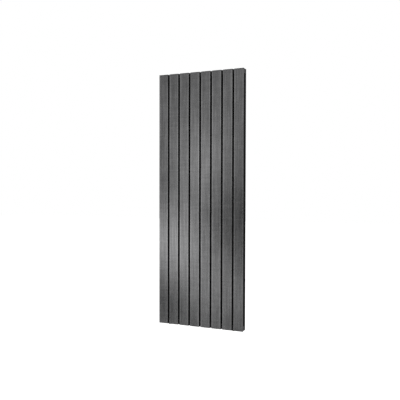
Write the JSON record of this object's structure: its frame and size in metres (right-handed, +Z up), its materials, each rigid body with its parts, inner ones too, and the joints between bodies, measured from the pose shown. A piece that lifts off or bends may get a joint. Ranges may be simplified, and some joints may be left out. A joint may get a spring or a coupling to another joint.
{
  "type": "vertical radiator",
  "caption": "Tall wall-hung hot-water radiator: a double row of vertical flat steel tubes on square collectors, with a bleed vent, blanking plugs and adjustable wall brackets.",
  "frame": {"origin": "centre of the four main wall-fixing holes, on the wall plane", "axes": "+Z up, +X to the right seen from the front, the front of the radiator faces -Y and the wall is at Y = 0"},
  "size_m": [0.6517, 0.085, 1.8067],
  "materials": {
    "front_finish": "satin metallic graphite coating with a fine vertical grain and cloudy mottling",
    "body_finish": "satin graphite coating, thinner and darker in the recesses",
    "bracket_steel": "black powder coat on pressed steel",
    "zinc_steel": "bright zinc plating",
    "nickel": "nickel-plated brass, satin",
    "brass": "turned brass",
    "white_plastic": "moulded plastic",
    "liner_plastic": "moulded nylon",
    "seal_rubber": "moulded EPDM"
  },
  "bodies": {
    "wall_plates": {"wall_plate_upper_left": "bracket_steel", "wall_plate_upper_right": "bracket_steel", "wall_plate_lower_left": "bracket_steel", "wall_plate_lower_right": "bracket_steel"},
    "bracket_arms": {"bracket_arm_upper_left": "bracket_steel", "bracket_arm_upper_right": "bracket_steel", "bracket_arm_lower_left": "bracket_steel", "bracket_arm_lower_right": "bracket_steel", "arm_liners": "liner_plastic", "arm_nuts": "zinc_steel"},
    "radiator": {"front_tube_1": "front_finish", "front_tube_2": "front_finish", "front_tube_3": "front_finish", "front_tube_4": "front_finish", "front_tube_5": "front_finish", "front_tube_6": "front_finish", "front_tube_7": "front_finish", "front_tube_8": "front_finish", "rear_tube_1": "body_finish", "rear_tube_2": "body_finish", "rear_tube_3": "body_finish", "rear_tube_4": "body_finish", "rear_tube_5": "body_finish", "rear_tube_6": "body_finish", "rear_tube_7": "body_finish", "rear_tube_8": "body_finish", "front_tube_caps_top": "front_finish", "front_tube_caps_bottom": "front_finish", "rear_tube_caps_top": "body_finish", "rear_tube_caps_bottom": "body_finish", "top_collector": "body_finish", "bottom_collector": "body_finish", "top_collector_end_caps": "body_finish", "bottom_collector_end_caps": "body_finish", "flow_divider": "body_finish", "flow_boss": "body_finish", "return_boss": "body_finish", "bottom_left_boss": "body_finish", "bottom_right_boss": "body_finish", "vent_boss": "body_finish", "plug_bottom_left": "nickel", "plug_bottom_right": "nickel", "plug_seals": "seal_rubber", "vent_body": "nickel", "vent_seal": "seal_rubber", "upper_hanging_lugs": "body_finish", "lower_hanging_lugs": "body_finish"},
    "vent_outlet": {"vent_outlet": "white_plastic"},
    "vent_needle": {"vent_needle": "brass"},
    "vent_screw": {"vent_screw": "brass"},
    "clamp_washer_upper_left": {"clamp_washer_upper_left": "zinc_steel"},
    "clamp_screw_upper_left": {"clamp_screw_upper_left": "zinc_steel"},
    "clamp_washer_upper_right": {"clamp_washer_upper_right": "zinc_steel"},
    "clamp_screw_upper_right": {"clamp_screw_upper_right": "zinc_steel"},
    "clamp_washer_lower_left": {"clamp_washer_lower_left": "zinc_steel"},
    "clamp_screw_lower_left": {"clamp_screw_lower_left": "zinc_steel"},
    "clamp_washer_lower_right": {"clamp_washer_lower_right": "zinc_steel"},
    "clamp_screw_lower_right": {"clamp_screw_lower_right": "zinc_steel"}
  },
  "joints": [
    {"name": "wall_distance", "type": "slide", "parent": "wall_plates", "child": "bracket_arms", "axis": [0, -1, 0], "range_m": [0, 0.01]},
    {"name": "lift_off", "type": "slide", "parent": "bracket_arms", "child": "radiator", "axis": [0, 0, 1], "range_m": [0, 0.016]},
    {"name": "vent_outlet_swivel", "type": "hinge", "parent": "radiator", "child": "vent_outlet", "pos_m": [-0.3255, -0.059, 0.885], "axis": [-1, 0, 0], "continuous": true},
    {"name": "vent_needle_travel", "type": "slide", "parent": "radiator", "child": "vent_needle", "axis": [-1, 0, 0], "range_m": [0, 0.0015]},
    {"name": "vent_screw_turn", "type": "hinge", "parent": "vent_needle", "child": "vent_screw", "pos_m": [-0.3235, -0.059, 0.885], "axis": [-1, 0, 0], "range_deg": [0, 540.5]},
    {"name": "clamp_travel_upper_left", "type": "slide", "parent": "bracket_arms", "child": "clamp_washer_upper_left", "axis": [0, 0, -1], "range_m": [0, 0.002]},
    {"name": "clamp_screw_turn_upper_left", "type": "hinge", "parent": "clamp_washer_upper_left", "child": "clamp_screw_upper_left", "pos_m": [-0.163, -0.012, 0.755], "axis": [0, 0, -1], "range_deg": [0, 720.5]},
    {"name": "clamp_travel_upper_right", "type": "slide", "parent": "bracket_arms", "child": "clamp_washer_upper_right", "axis": [0, 0, -1], "range_m": [0, 0.002]},
    {"name": "clamp_screw_turn_upper_right", "type": "hinge", "parent": "clamp_washer_upper_right", "child": "clamp_screw_upper_right", "pos_m": [0.163, -0.012, 0.755], "axis": [0, 0, -1], "range_deg": [0, 720.5]},
    {"name": "clamp_travel_lower_left", "type": "slide", "parent": "bracket_arms", "child": "clamp_washer_lower_left", "axis": [0, 0, -1], "range_m": [0, 0.002]},
    {"name": "clamp_screw_turn_lower_left", "type": "hinge", "parent": "clamp_washer_lower_left", "child": "clamp_screw_lower_left", "pos_m": [-0.163, -0.012, -0.805], "axis": [0, 0, -1], "range_deg": [0, 720.5]},
    {"name": "clamp_travel_lower_right", "type": "slide", "parent": "bracket_arms", "child": "clamp_washer_lower_right", "axis": [0, 0, -1], "range_m": [0, 0.002]},
    {"name": "clamp_screw_turn_lower_right", "type": "hinge", "parent": "clamp_washer_lower_right", "child": "clamp_screw_lower_right", "pos_m": [0.163, -0.012, -0.805], "axis": [0, 0, -1], "range_deg": [0, 720.5]}
  ],
  "couplings": [
    {"joint": "vent_screw_turn", "follows": "vent_needle_travel", "rad_per_m": 6283.2},
    {"joint": "clamp_screw_turn_upper_left", "follows": "clamp_travel_upper_left", "rad_per_m": 6283.2},
    {"joint": "clamp_screw_turn_upper_right", "follows": "clamp_travel_upper_right", "rad_per_m": 6283.2},
    {"joint": "clamp_screw_turn_lower_left", "follows": "clamp_travel_lower_left", "rad_per_m": 6283.2},
    {"joint": "clamp_screw_turn_lower_right", "follows": "clamp_travel_lower_right", "rad_per_m": 6283.2}
  ]
}
